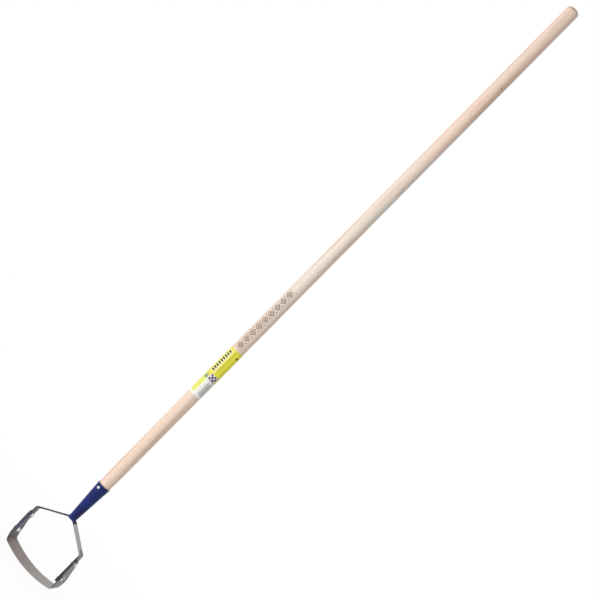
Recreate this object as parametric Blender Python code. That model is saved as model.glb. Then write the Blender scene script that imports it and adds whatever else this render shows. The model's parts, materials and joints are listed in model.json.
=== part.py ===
"""Long-handled garden scraper: a U-shaped blade that rocks in a strap-steel yoke.

Metres, +Z up along the handle. The origin is on the handle's axis, where a rail's clip or the
upper hand holds the tool, and the blade hangs below it. +X runs across the blade, and +Y points
away from the user, to the side that the blade is swung to at rest.
"""
import math

import bmesh
import bpy
from mathutils import Matrix, Vector

# Fits
SEAT_GAP = 0.0003
RUNNING_GAP = 0.0003

# Wooden handle
GRIP_TO_YOKE = 1.100
HANDLE_LENGTH = 1.400
HANDLE_RADIUS = 0.0140
HANDLE_TIP_ABOVE_RIVET = 0.0011
HANDLE_TIP_CHAMFER = 0.0010
HANDLE_SHOULDER = 0.0620
HANDLE_END_ROUND = 0.0095
HANDLE_END_HEIGHT = 0.0081

# Paper label on the handle
LABEL_ABOVE_YOKE = 0.3410
LABEL_LENGTH = 0.1200
LABEL_THICKNESS = 0.00025
LABEL_WRAP = math.radians(300)
LABEL_CENTRE_ANGLE = math.radians(-70)

# Rolled conical socket
SOCKET_LENGTH = 0.0893
SOCKET_WALL = 0.0015
SOCKET_MOUTH_RADIUS = 0.0146
SOCKET_FOOT_RADIUS = 0.0086
SOCKET_BASE = 0.0025
SOCKET_FLARE = 0.0016
SOCKET_FLARE_HEIGHT = 0.0020
SEAM_WIDTH = 0.0012
SEAM_FOOT = 0.0120

# Nail through the socket
NAIL_BELOW_MOUTH = 0.0088
NAIL_TURN = math.radians(-5)
NAIL_RADIUS = 0.0015
NAIL_LENGTH = 0.0110
NAIL_POINT = 0.0025
NAIL_TIP_RADIUS = 0.0003
NAIL_HEAD_RADIUS = 0.0032
NAIL_HEAD_HEIGHT = 0.0015

# Strap-steel yoke
YOKE_WIDTH = 0.0160
YOKE_THICKNESS = 0.0035
YOKE_HALF_SPAN = 0.0697
YOKE_FLAT_HALF = 0.0080
YOKE_SHOULDER_DROP = 0.0345
YOKE_END_BELOW_STOP = 0.0090
YOKE_ROOT_BEND = 0.0090
YOKE_SHOULDER_BEND = 0.0070
YOKE_CHAMFER = 0.0004

# Rivet that holds the yoke to the socket
RIVET_RADIUS = 0.0030
RIVET_SINK_RIM = 0.0020
RIVET_SINK_DEPTH = 0.0020
RIVET_TOP_RIM = 0.0016
RIVET_TOP_HEIGHT = 0.0018

# Rocking blade
PIVOT_BELOW_SHOULDER = 0.0225
STOP_BELOW_PIVOT = 0.0390
SWING_EACH_WAY = math.radians(15)
BLADE_THICKNESS = 0.0022
BLADE_TUCK = 0.0020
BLADE_TUCK_BELOW_YOKE = 0.0024
BLADE_TUCK_BEND = 0.0160
BLADE_CORNER_BELOW_YOKE = 0.0198
BLADE_CORNER_BEND = 0.0055
BLADE_SAG = 0.0112
BLADE_HALF_WIDTH_MIDDLE = 0.0178
TAB_WALL_AT_PIVOT = 0.0064
TAB_WALL_AT_SLOT = 0.0038
TAB_FLARE_BELOW_SLOT = 0.0015
BLADE_CHAMFER = 0.0003
BEVEL_WIDTH = 0.0050
CUTTING_EDGE = 0.0006

# Bolts, nuts and washers
BOLT_RADIUS = 0.0025
BOLT_HEAD_RIM = 0.0014
BOLT_HEAD_HEIGHT = 0.0016
BOLT_END_PAST_NUT = 0.0004
BOLT_END_CHAMFER = 0.0005
NUT_WALL = 0.0015
NUT_HEIGHT = 0.0027
NUT_CHAMFER = 0.0005
NUT_COLLAR_WALL = 0.0011
NUT_COLLAR_HEIGHT = 0.0008
WASHER_RIM = 0.0025
WASHER_THICKNESS = 0.0006
SLOT_WASHER_RIM = 0.0034
SLOT_WASHER_THICKNESS = 0.0006

ROUND_STEPS = 24
HANDLE_STEPS = 48
SLOT_END_STEPS = 12
SIDES = {"left": -1, "right": 1}

# Levels and radii that follow from the sizes above
YOKE_TOP_Z = -GRIP_TO_YOKE
YOKE_UNDER_Z = YOKE_TOP_Z - YOKE_THICKNESS
PIVOT_Z = YOKE_TOP_Z - YOKE_SHOULDER_DROP - PIVOT_BELOW_SHOULDER
STOP_Z = PIVOT_Z - STOP_BELOW_PIVOT
YOKE_END_Z = STOP_Z - YOKE_END_BELOW_STOP
SOCKET_FOOT_Z = YOKE_TOP_Z + SEAT_GAP
SOCKET_FLOOR_Z = SOCKET_FOOT_Z + SOCKET_BASE
SOCKET_MOUTH_Z = YOKE_TOP_Z + SOCKET_LENGTH
RIVET_TOP_SEAT_Z = SOCKET_FLOOR_Z + SEAT_GAP
HANDLE_TIP_Z = RIVET_TOP_SEAT_Z + RIVET_TOP_HEIGHT + HANDLE_TIP_ABOVE_RIVET
HANDLE_TOP_Z = HANDLE_TIP_Z + HANDLE_LENGTH
RIVET_HOLE_RADIUS = RIVET_RADIUS + RUNNING_GAP
BOLT_HOLE_RADIUS = BOLT_RADIUS + RUNNING_GAP
TAB_TOP_RADIUS = BOLT_RADIUS + TAB_WALL_AT_PIVOT
SLOT_HALF_LENGTH = STOP_BELOW_PIVOT * math.sin(SWING_EACH_WAY) + BOLT_HOLE_RADIUS
TAB_HALF_WIDTH_AT_STOP = SLOT_HALF_LENGTH + TAB_WALL_AT_SLOT
BLADE_HALF_WIDTH_CORNER = TAB_HALF_WIDTH_AT_STOP + TAB_FLARE_BELOW_SLOT
YOKE_END_SWEEP = math.hypot(PIVOT_Z - YOKE_END_Z, YOKE_WIDTH / 2)
BLADE_TUCK_START = YOKE_END_SWEEP + BLADE_TUCK_BELOW_YOKE
BLADE_DEPTH = PIVOT_Z - YOKE_END_Z + BLADE_CORNER_BELOW_YOKE

for old in list(bpy.data.objects):
    bpy.data.objects.remove(old, do_unlink=True)


def make_material(name, color, roughness, metallic):
    """A Principled material of one colour."""
    material = bpy.data.materials.new(name)
    material.use_nodes = True
    shader = material.node_tree.nodes["Principled BSDF"]
    shader.inputs["Base Color"].default_value = (*color, 1.0)
    shader.inputs["Roughness"].default_value = roughness
    shader.inputs["Metallic"].default_value = metallic
    return material


WOOD = make_material("pale_beech", (0.74, 0.56, 0.38), 0.55, 0.0)
PAPER = make_material("yellow_paper", (0.85, 0.76, 0.10), 0.45, 0.0)
BLUE_PAINT = make_material("blue_enamel", (0.02, 0.03, 0.16), 0.30, 0.0)
STRAP_STEEL = make_material("mill_steel", (0.30, 0.30, 0.30), 0.45, 1.0)
BLADE_STEEL = make_material("spring_steel", (0.24, 0.21, 0.20), 0.40, 1.0)
WASHER_STEEL = make_material("black_steel", (0.10, 0.10, 0.11), 0.45, 1.0)
ZINC = make_material("zinc_plate", (0.70, 0.71, 0.73), 0.25, 1.0)


def add_object(name, bm, material, smooth_angle=35):
    """Turns a bmesh into a named object, shaded smooth between its sharp edges."""
    bmesh.ops.recalc_face_normals(bm, faces=bm.faces)
    mesh = bpy.data.meshes.new(name)
    bm.to_mesh(mesh)
    bm.free()
    mesh.shade_smooth()
    mesh.set_sharp_from_angle(angle=math.radians(smooth_angle))
    mesh.materials.append(material)
    obj = bpy.data.objects.new(name, mesh)
    bpy.context.scene.collection.objects.link(obj)
    return obj


def skin_rings(rings, closed):
    """Joins rings of points into one surface: capped at both ends, or closed on itself."""
    bm = bmesh.new()
    loops = [[bm.verts.new(point) for point in ring] for ring in rings]
    pairs = list(zip(loops, loops[1:]))
    if closed:
        pairs.append((loops[-1], loops[0]))
    for low, high in pairs:
        for i in range(len(low)):
            j = (i + 1) % len(low)
            bm.faces.new((low[i], low[j], high[j], high[i]))
    if not closed:
        bm.faces.new(loops[0][::-1])
        bm.faces.new(loops[-1])
    return bm


def round_ring(radius, z, steps):
    """A circle of points round the Z axis."""
    turns = [2 * math.pi * i / steps for i in range(steps)]
    return [(radius * math.cos(a), radius * math.sin(a), z) for a in turns]


def hex_ring(flats, limit, z, steps):
    """A hexagon of points round the Z axis, rounded off where it passes the limit radius."""
    points = []
    for i in range(steps):
        a = 2 * math.pi * i / steps
        off = (a + math.pi / 6) % (math.pi / 3) - math.pi / 6
        radius = min(flats / 2 / math.cos(off), limit)
        points.append((radius * math.cos(a), radius * math.sin(a), z))
    return points


def turned(name, outline, material, steps=ROUND_STEPS, closed=False):
    """A turned piece from (radius, z) points; a closed outline has a bore."""
    rings = [round_ring(radius, z, steps) for radius, z in outline]
    return add_object(name, skin_rings(rings, closed), material)


def arc(centre, radius, start, end, steps):
    """Points on an arc in a plane; angles in degrees."""
    points = []
    for i in range(steps + 1):
        a = math.radians(start + (end - start) * i / steps)
        points.append((centre[0] + radius * math.cos(a), centre[1] + radius * math.sin(a)))
    return points


def rounded_path(corners, bends, steps=8):
    """Points along straight runs whose inner corners are rounded to the given radii."""
    path = [Vector(corners[0])]
    for before, corner, after, radius in zip(corners, corners[1:], corners[2:], bends):
        corner = Vector(corner)
        back = (Vector(before) - corner).normalized()
        ahead = (Vector(after) - corner).normalized()
        half = back.angle(ahead) / 2
        centre = corner + (back + ahead).normalized() * (radius / math.sin(half))
        start = corner + back * (radius / math.tan(half)) - centre
        end = corner + ahead * (radius / math.tan(half)) - centre
        for i in range(steps + 1):
            spoke = start.lerp(end, i / steps).normalized() * radius
            path.append(centre + spoke)
    path.append(Vector(corners[-1]))
    return path


def path_sides(path):
    """The unit vector across the path at each of its points, on the path's left."""
    sides = []
    for i in range(len(path)):
        before = path[max(i - 1, 0)]
        after = path[min(i + 1, len(path) - 1)]
        run = (after - before).normalized()
        sides.append(Vector((-run.y, run.x)))
    return sides


def cutter(name, bm, parent=None):
    """A shape that is cut out of others, drawn as wire and left out of the model."""
    obj = add_object(name, bm, ZINC)
    obj.hide_render = True
    obj.display_type = "WIRE"
    obj.parent = parent
    return obj


def cut(obj, tool):
    """Takes the tool's shape out of the object."""
    modifier = obj.modifiers.new("cut_" + tool.name, "BOOLEAN")
    modifier.operation = "DIFFERENCE"
    modifier.solver = "EXACT"
    modifier.object = tool


def along_x(obj, side, x, z):
    """Turns a piece made along Z so that its top points outwards at one side of the yoke."""
    obj.rotation_euler = (0, side * math.pi / 2, 0)
    obj.location = (side * x, 0, z)


def dome(radius, height, steps=5):
    """Outline of a low dome that stands on z = 0, up to a small flat at its top."""
    return [(r * radius, z * height) for r, z in arc((0, 0), 1, 10, 80, steps)]


def socket_radius(z):
    """The socket's outer radius at a height."""
    share = (z - SOCKET_FOOT_Z) / (SOCKET_MOUTH_Z - SOCKET_FOOT_Z)
    return SOCKET_FOOT_RADIUS + share * (SOCKET_MOUTH_RADIUS - SOCKET_FOOT_RADIUS)


def bore_radius(z):
    """The socket's inner radius at a height."""
    return socket_radius(z) - SOCKET_WALL


def make_handle():
    """Turned beech shaft: a long cone in the socket, then the round grip and its domed end."""
    mouth_radius = bore_radius(SOCKET_MOUTH_Z) - SEAT_GAP
    shoulder_z = SOCKET_MOUTH_Z + HANDLE_SHOULDER
    tip_edge_z = HANDLE_TIP_Z + HANDLE_TIP_CHAMFER
    tip_radius = bore_radius(tip_edge_z) - SEAT_GAP
    outline = [(tip_radius - HANDLE_TIP_CHAMFER, HANDLE_TIP_Z), (tip_radius, tip_edge_z)]
    outline.append((mouth_radius, SOCKET_MOUTH_Z))
    shoulder_steps = 6
    for i in range(1, shoulder_steps + 1):
        share = i / shoulder_steps
        swell = math.sin(share * math.pi / 2)
        radius = mouth_radius + swell * (HANDLE_RADIUS - mouth_radius)
        outline.append((radius, SOCKET_MOUTH_Z + share * (shoulder_z - SOCKET_MOUTH_Z)))
    dome_foot = HANDLE_TOP_Z - HANDLE_END_HEIGHT
    shaft_steps = 6
    for i in range(1, shaft_steps):
        outline.append((HANDLE_RADIUS, shoulder_z + (dome_foot - shoulder_z) * i / shaft_steps))
    flat_radius = HANDLE_RADIUS - HANDLE_END_ROUND
    for r, z in arc((0, 0), 1, 0, 90, 7):
        outline.append((flat_radius + r * HANDLE_END_ROUND, dome_foot + z * HANDLE_END_HEIGHT))
    return turned("handle", outline, WOOD, HANDLE_STEPS)


def make_label():
    """Paper label: a thin sheet bent round the handle, open at its back."""
    inner = HANDLE_RADIUS + SEAT_GAP
    outer = inner + LABEL_THICKNESS
    low = YOKE_TOP_Z + LABEL_ABOVE_YOKE
    high = low + LABEL_LENGTH
    steps = 40
    rings = []
    for i in range(steps + 1):
        a = LABEL_CENTRE_ANGLE + LABEL_WRAP * (i / steps - 0.5)
        c, s = math.cos(a), math.sin(a)
        corners = [(inner, low), (outer, low), (outer, high), (inner, high)]
        rings.append([(r * c, r * s, z) for r, z in corners])
    return add_object("label", skin_rings(rings, False), PAPER)


def make_socket():
    """Sheet-steel cone with a base for the rivet and an open seam down its back."""
    rim = SOCKET_FOOT_RADIUS + SOCKET_FLARE
    flare_top = SOCKET_FOOT_Z + SOCKET_FLARE_HEIGHT
    flare = rim - socket_radius(flare_top)
    outline = [(RIVET_HOLE_RADIUS, SOCKET_FOOT_Z)]
    for r, z in arc((0, 0), 1, 270, 180, 3):
        outline.append((rim + r * flare, flare_top + z * SOCKET_FLARE_HEIGHT))
    outline += [
        (socket_radius(SOCKET_MOUTH_Z), SOCKET_MOUTH_Z),
        (bore_radius(SOCKET_MOUTH_Z), SOCKET_MOUTH_Z),
        (bore_radius(SOCKET_FLOOR_Z), SOCKET_FLOOR_Z),
        (RIVET_HOLE_RADIUS, SOCKET_FLOOR_Z),
    ]
    socket = turned("socket", outline, BLUE_PAINT, HANDLE_STEPS, closed=True)
    seam = bmesh.new()
    bmesh.ops.create_cube(seam, size=1.0)
    reach = SOCKET_MOUTH_RADIUS * 2
    bmesh.ops.scale(seam, vec=(SEAM_WIDTH, reach, SOCKET_LENGTH), verts=seam.verts)
    centre = (0, reach / 2, YOKE_TOP_Z + SEAM_FOOT + SOCKET_LENGTH / 2)
    bmesh.ops.translate(seam, vec=centre, verts=seam.verts)
    cut(socket, cutter("seam_cutter", seam))
    return socket


def make_nail(socket, handle):
    """Domed nail through the front of the socket into the wood, in a drilled hole."""
    z = SOCKET_MOUTH_Z - NAIL_BELOW_MOUTH
    lean = math.atan2(SOCKET_MOUTH_RADIUS - SOCKET_FOOT_RADIUS, SOCKET_LENGTH)
    reach = socket_radius(z) + SEAT_GAP
    outline = [(NAIL_TIP_RADIUS, -NAIL_LENGTH), (NAIL_RADIUS, NAIL_POINT - NAIL_LENGTH)]
    outline += [(NAIL_RADIUS, 0), (NAIL_HEAD_RADIUS, 0)]
    outline += dome(NAIL_HEAD_RADIUS, NAIL_HEAD_HEIGHT)
    nail = turned("socket_nail", outline, ZINC)
    nail.rotation_euler = (math.pi / 2 + lean, 0, NAIL_TURN)
    nail.location = (reach * math.sin(NAIL_TURN), -reach * math.cos(NAIL_TURN), z)
    ends = (-NAIL_LENGTH - RUNNING_GAP, NAIL_HEAD_HEIGHT)
    hole = [round_ring(NAIL_RADIUS + RUNNING_GAP, h, ROUND_STEPS) for h in ends]
    tool = cutter("nail_cutter", skin_rings(hole, False))
    tool.rotation_euler = nail.rotation_euler
    tool.location = nail.location
    cut(socket, tool)
    cut(handle, tool)
    return nail


def strap_section(half_width, thickness, chamfer):
    """Outline of a flat strap with small chamfers, as (across the strap, through it)."""
    w, t, c = half_width, thickness / 2, chamfer
    return [(-w, t - c), (-w + c, t), (w - c, t), (w, t - c),
            (w, -t + c), (w - c, -t), (-w + c, -t), (-w, -t + c)]


def make_yoke():
    """Flat strap bent to a flat seat, two sloping shoulders and two straight arms."""
    mid_x = YOKE_HALF_SPAN - YOKE_THICKNESS / 2
    top = YOKE_TOP_Z - YOKE_THICKNESS / 2
    half = [(mid_x, YOKE_END_Z), (mid_x, top - YOKE_SHOULDER_DROP), (YOKE_FLAT_HALF, top)]
    corners = half + [(-x, z) for x, z in reversed(half)]
    bends = [YOKE_SHOULDER_BEND, YOKE_ROOT_BEND, YOKE_ROOT_BEND, YOKE_SHOULDER_BEND]
    path = rounded_path(corners, bends)
    section = strap_section(YOKE_WIDTH / 2, YOKE_THICKNESS, YOKE_CHAMFER)
    rings = []
    for point, side in zip(path, path_sides(path)):
        rings.append([(point.x + side.x * t, y, point.y + side.y * t) for y, t in section])
    yoke = add_object("yoke", skin_rings(rings, False), STRAP_STEEL)
    sink_slope = RIVET_SINK_RIM / RIVET_SINK_DEPTH
    sink_radius = RIVET_HOLE_RADIUS + RIVET_SINK_RIM + SEAT_GAP * sink_slope
    seat_hole = [
        (sink_radius, YOKE_UNDER_Z - YOKE_THICKNESS),
        (sink_radius, YOKE_UNDER_Z),
        (RIVET_HOLE_RADIUS, YOKE_UNDER_Z + SEAT_GAP + RIVET_SINK_DEPTH),
        (RIVET_HOLE_RADIUS, YOKE_TOP_Z + YOKE_THICKNESS),
    ]
    seat_rings = [round_ring(radius, z, ROUND_STEPS) for radius, z in seat_hole]
    cut(yoke, cutter("seat_hole_cutter", skin_rings(seat_rings, False)))
    for name, z in (("pivot", PIVOT_Z), ("stop", STOP_Z)):
        cut(yoke, cross_drill(name + "_hole_cutter", z))
    return yoke


def cross_drill(name, z, parent=None):
    """A round cutter along X, long enough to pass through both arms."""
    reach = YOKE_HALF_SPAN * 2
    ends = (-reach, reach)
    bm = skin_rings([round_ring(BOLT_HOLE_RADIUS, x, ROUND_STEPS) for x in ends], False)
    bmesh.ops.rotate(bm, cent=(0, 0, 0), matrix=Matrix.Rotation(math.pi / 2, 3, "Y"), verts=bm.verts)
    bmesh.ops.translate(bm, vec=(0, 0, z), verts=bm.verts)
    return cutter(name, bm, parent)


def make_yoke_rivet():
    """Flush rivet: countersunk under the yoke's seat, closed inside the socket."""
    low = YOKE_UNDER_Z + SEAT_GAP
    top_radius = RIVET_RADIUS + RIVET_TOP_RIM
    outline = [
        (RIVET_RADIUS + RIVET_SINK_RIM, low),
        (RIVET_RADIUS, low + RIVET_SINK_DEPTH),
        (RIVET_RADIUS, RIVET_TOP_SEAT_Z),
        (top_radius, RIVET_TOP_SEAT_Z),
    ]
    outline += [(r, RIVET_TOP_SEAT_Z + z) for r, z in dome(top_radius, RIVET_TOP_HEIGHT)]
    return turned("yoke_rivet", outline, BLUE_PAINT)


def blade_half_width(depth, x):
    """Half the band's width: round tab top, flaring tab, then the band, narrower in its middle."""
    if depth <= 0:
        return math.sqrt(max(TAB_TOP_RADIUS ** 2 - depth ** 2, 0.0))
    if depth <= STOP_BELOW_PIVOT:
        share = depth / STOP_BELOW_PIVOT
        return TAB_TOP_RADIUS + share * (TAB_HALF_WIDTH_AT_STOP - TAB_TOP_RADIUS)
    if depth <= BLADE_DEPTH:
        share = (depth - STOP_BELOW_PIVOT) / (BLADE_DEPTH - STOP_BELOW_PIVOT)
        ease = math.sin(share * math.pi / 2)
        return TAB_HALF_WIDTH_AT_STOP + ease * (BLADE_HALF_WIDTH_CORNER - TAB_HALF_WIDTH_AT_STOP)
    share = min(abs(x) / YOKE_HALF_SPAN, 1.0)
    widening = BLADE_HALF_WIDTH_CORNER - BLADE_HALF_WIDTH_MIDDLE
    return BLADE_HALF_WIDTH_MIDDLE + share ** 2 * widening


def blade_path():
    """The band's centreline from the right tab's top to the left one's, pivot at z = 0."""
    tab_x = YOKE_HALF_SPAN + SEAT_GAP + BLADE_THICKNESS / 2
    corner_x = tab_x - BLADE_TUCK
    radius = (corner_x ** 2 + BLADE_SAG ** 2) / (2 * BLADE_SAG)
    slope = math.asin(corner_x / radius)
    lead = BLADE_CORNER_BEND * 4
    ahead = (corner_x - math.cos(slope) * lead, -BLADE_DEPTH - math.sin(slope) * lead)
    corners = [(tab_x, 0), (tab_x, -BLADE_TUCK_START), (corner_x, -BLADE_DEPTH), ahead]
    side = rounded_path(corners, [BLADE_TUCK_BEND, BLADE_CORNER_BEND])[:-1]
    half = [Vector((tab_x, z)) for _, z in arc((0, 0), TAB_TOP_RADIUS, 74, 0, 7)[:-1]]
    straight_end = side[1].y
    straight_steps = 8
    for i in range(straight_steps):
        half.append(Vector((tab_x, straight_end * i / straight_steps)))
    half += side[1:]
    centre_z = radius - BLADE_DEPTH - BLADE_SAG
    start = math.asin(half[-1].x / radius)
    arc_steps = 9
    for i in range(1, arc_steps):
        a = start * (1 - i / arc_steps)
        half.append(Vector((radius * math.sin(a), centre_z - radius * math.cos(a))))
    bottom = [Vector((0, -BLADE_DEPTH - BLADE_SAG))]
    return half + bottom + [Vector((-p.x, p.y)) for p in reversed(half)]


def make_blade(pivot):
    """Spring-steel band: two drilled and slotted tabs and a bowed bottom, sharpened both sides."""
    path = blade_path()
    inward = [-side for side in path_sides(path)]
    t = BLADE_THICKNESS / 2
    rings = []
    for point, inner in zip(path, inward):
        half = blade_half_width(-point.y, point.x)
        low = (-point.y - BLADE_TUCK_START) / (BLADE_DEPTH - BLADE_TUCK_START)
        ground = min(max(low, 0.0), 1.0)
        bevel = BLADE_CHAMFER + ground * (BEVEL_WIDTH - BLADE_CHAMFER)
        edge = BLADE_CHAMFER - t + ground * (BLADE_THICKNESS - CUTTING_EDGE - BLADE_CHAMFER)
        section = [(-half, t), (half, t), (half, edge),
                   (half - bevel, -t), (bevel - half, -t), (-half, edge)]
        rings.append([(point.x + inner.x * h, y, point.y + inner.y * h) for y, h in section])
    blade = add_object("blade", skin_rings(rings, False), BLADE_STEEL)
    blade.parent = pivot
    cut(blade, cross_drill("blade_pivot_cutter", 0, pivot))
    cut(blade, slot_cutter(pivot))
    return blade


def slot_cutter(pivot):
    """Arc-shaped slot that lets the blade rock until its end meets the stop bolt."""
    swing = math.degrees(SWING_EACH_WAY)
    end_y = STOP_BELOW_PIVOT * math.sin(SWING_EACH_WAY)
    end_z = -STOP_BELOW_PIVOT * math.cos(SWING_EACH_WAY)
    cap_radius = BOLT_HOLE_RADIUS / math.cos(math.pi / 2 / SLOT_END_STEPS)
    low_radius = STOP_BELOW_PIVOT + BOLT_HOLE_RADIUS
    high_radius = STOP_BELOW_PIVOT - BOLT_HOLE_RADIUS
    outline = arc((0, 0), low_radius, -90 - swing, -90 + swing, SLOT_END_STEPS)
    outline += arc((end_y, end_z), cap_radius, -90 + swing, 90 + swing, SLOT_END_STEPS)[1:-1]
    outline += arc((0, 0), high_radius, -90 + swing, -90 - swing, SLOT_END_STEPS)
    outline += arc((-end_y, end_z), cap_radius, 90 - swing, 270 - swing, SLOT_END_STEPS)[1:-1]
    reach = YOKE_HALF_SPAN * 2
    bm = skin_rings([[(x, y, z) for y, z in outline] for x in (-reach, reach)], False)
    return cutter("slot_cutter", bm, pivot)


def bolt_outline(length):
    """A domed bolt along Z: its head stands on z = 0, and its shank hangs below."""
    outline = [(BOLT_RADIUS - BOLT_END_CHAMFER, -length), (BOLT_RADIUS, -length + BOLT_END_CHAMFER)]
    head_radius = BOLT_RADIUS + BOLT_HEAD_RIM
    outline += [(BOLT_RADIUS, 0), (head_radius, 0)]
    return outline + dome(head_radius, BOLT_HEAD_HEIGHT)


def washer_outline(rim, low, high):
    """A flat washer's outline, with its hole for the bolt."""
    outer = BOLT_RADIUS + rim
    return [(BOLT_HOLE_RADIUS, low), (outer, low), (outer, high), (BOLT_HOLE_RADIUS, high)]


def make_nut(name):
    """Self-locking nut along Z: a chamfered hexagon with a round collar, seated on z = 0."""
    flats = (BOLT_RADIUS + NUT_WALL) * 2
    corner = flats / 2 / math.cos(math.pi / 6)
    collar = BOLT_RADIUS + NUT_COLLAR_WALL
    end = NUT_HEIGHT + NUT_COLLAR_HEIGHT
    rings = [
        round_ring(BOLT_HOLE_RADIUS, 0, ROUND_STEPS),
        hex_ring(flats, corner - NUT_CHAMFER, 0, ROUND_STEPS),
        hex_ring(flats, corner, NUT_CHAMFER, ROUND_STEPS),
        hex_ring(flats, corner, NUT_HEIGHT - NUT_CHAMFER, ROUND_STEPS),
        hex_ring(flats, corner - NUT_CHAMFER, NUT_HEIGHT, ROUND_STEPS),
        round_ring(collar, NUT_HEIGHT, ROUND_STEPS),
        round_ring(collar, end - NUT_CHAMFER, ROUND_STEPS),
        round_ring(collar - NUT_CHAMFER, end, ROUND_STEPS),
        round_ring(BOLT_HOLE_RADIUS, end, ROUND_STEPS),
    ]
    return add_object(name, skin_rings(rings, True), ZINC, 30)


def make_fastener_stack(kind, z, slotted):
    """On both arms: bolt from outside, washer and locking nut inside, and one over a slot."""
    tab_face = YOKE_HALF_SPAN + SEAT_GAP + BLADE_THICKNESS + SEAT_GAP
    head_seat = tab_face + (SLOT_WASHER_THICKNESS + SEAT_GAP if slotted else 0)
    washer_seat = YOKE_HALF_SPAN - YOKE_THICKNESS - SEAT_GAP
    nut_seat = washer_seat - WASHER_THICKNESS - SEAT_GAP
    nut_end = nut_seat - NUT_HEIGHT - NUT_COLLAR_HEIGHT
    length = head_seat - nut_end + BOLT_END_PAST_NUT
    for side_name, side in SIDES.items():
        bolt = turned(f"{kind}_bolt_{side_name}", bolt_outline(length), ZINC)
        along_x(bolt, side, head_seat, z)
        flat = washer_outline(WASHER_RIM, -WASHER_THICKNESS, 0)
        washer = turned(f"{kind}_washer_{side_name}", flat, ZINC, closed=True)
        along_x(washer, side, washer_seat, z)
        nut = make_nut(f"{kind}_nut_{side_name}")
        along_x(nut, -side, -nut_seat, z)
        if slotted:
            wide = washer_outline(SLOT_WASHER_RIM, 0, SLOT_WASHER_THICKNESS)
            slot_washer = turned(f"slot_washer_{side_name}", wide, WASHER_STEEL, closed=True)
            along_x(slot_washer, side, tab_face, z)


def main():
    handle = make_handle()
    make_label()
    socket = make_socket()
    make_nail(socket, handle)
    make_yoke()
    make_yoke_rivet()
    pivot = bpy.data.objects.new("blade_pivot", None)
    pivot.location = (0, 0, PIVOT_Z)
    pivot.rotation_euler = (SWING_EACH_WAY, 0, 0)
    bpy.context.scene.collection.objects.link(pivot)
    make_blade(pivot)
    make_fastener_stack("pivot", PIVOT_Z, slotted=False)
    make_fastener_stack("stop", STOP_Z, slotted=True)


main()
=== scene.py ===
import json
import math

import bmesh
import bpy
from mathutils import Matrix, Vector


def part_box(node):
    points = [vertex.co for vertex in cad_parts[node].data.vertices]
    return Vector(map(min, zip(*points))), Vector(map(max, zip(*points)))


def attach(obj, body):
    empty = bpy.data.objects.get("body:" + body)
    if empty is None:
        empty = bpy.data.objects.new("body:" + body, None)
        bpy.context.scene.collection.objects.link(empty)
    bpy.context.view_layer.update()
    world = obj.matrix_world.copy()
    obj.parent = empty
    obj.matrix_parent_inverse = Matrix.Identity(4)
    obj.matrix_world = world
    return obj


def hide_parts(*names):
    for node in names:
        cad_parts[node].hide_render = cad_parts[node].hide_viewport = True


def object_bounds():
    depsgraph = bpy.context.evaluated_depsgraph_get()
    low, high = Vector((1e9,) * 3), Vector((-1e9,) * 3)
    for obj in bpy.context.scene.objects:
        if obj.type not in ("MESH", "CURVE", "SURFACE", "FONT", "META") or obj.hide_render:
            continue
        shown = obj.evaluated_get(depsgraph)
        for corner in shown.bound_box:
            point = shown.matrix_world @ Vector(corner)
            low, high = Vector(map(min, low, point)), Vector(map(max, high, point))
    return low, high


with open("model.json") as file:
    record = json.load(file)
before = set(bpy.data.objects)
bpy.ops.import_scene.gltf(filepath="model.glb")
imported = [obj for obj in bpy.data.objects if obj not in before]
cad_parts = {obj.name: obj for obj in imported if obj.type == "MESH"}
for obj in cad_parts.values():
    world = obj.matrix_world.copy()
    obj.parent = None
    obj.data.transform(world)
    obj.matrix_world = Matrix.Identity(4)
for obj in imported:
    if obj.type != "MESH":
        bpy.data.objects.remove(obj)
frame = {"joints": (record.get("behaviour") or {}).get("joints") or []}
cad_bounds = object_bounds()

# Handle
# A pole turned from beech, sanded and lightly waxed. Its lower end is a long cone, driven into the
# socket and nailed there. Its top end is rounded over, and an ornament is burned into its front.
handle_low, handle_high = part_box("handle")
socket_low, socket_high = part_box("socket")
FIT = 0.0003
HANDLE_RADIUS = handle_high.x
HANDLE_TIP_CHAMFER = 0.0010
HANDLE_SHOULDER = 0.0620
HANDLE_END_ROUND = 0.0095
HANDLE_END_HEIGHT = 0.0081
HANDLE_STEPS = 96
SHAFT_RING = 0.010
SOCKET_WALL = 0.0015
SOCKET_FOOT_RADIUS = 0.0086
SOCKET_MOUTH_RADIUS = socket_high.x
PITH_X, PITH_Y = 0.055, -0.038
YEAR_RING = 0.0026
WOOD_PALE = (0.90, 0.805, 0.715)
WOOD_WARM = (0.84, 0.70, 0.58)
WOOD_ROSY = (0.99, 0.75, 0.61)
WOOD_AGED = (0.88, 0.655, 0.53)
WOOD_RING = (0.72, 0.54, 0.42)
WOOD_FLECK = (0.42, 0.285, 0.205)
WOOD_END = (0.58, 0.43, 0.32)
WOOD_CROWN = (0.23, 0.165, 0.15)
WOOD_STREAK = (0.70, 0.47, 0.35)
ROSY_BELOW, ROSY_FADE = -0.620, 0.300
AGED_ABOVE, AGED_FADE = -0.060, 0.500
CROWN_HEIGHT, CROWN_FADE = 0.0040, 0.0060
KNOT = (0.0110, -0.0087, 0.0920)
KNOT_RADIUS = 0.0030
KNOT_BROWN = (0.52, 0.29, 0.17)
BURN_LOW = -0.633
BURN_CELL = 0.0171
BURN_CELLS = 9
BURN_HALF_WIDTH = 0.0070
BURN_LINE = 0.115
LOZENGE_EDGE, HEART_EDGE = 0.88, 0.34
BURN_BROWN = (0.07, 0.022, 0.01)
BURN_SCORCH = (0.42, 0.27, 0.175)


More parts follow.
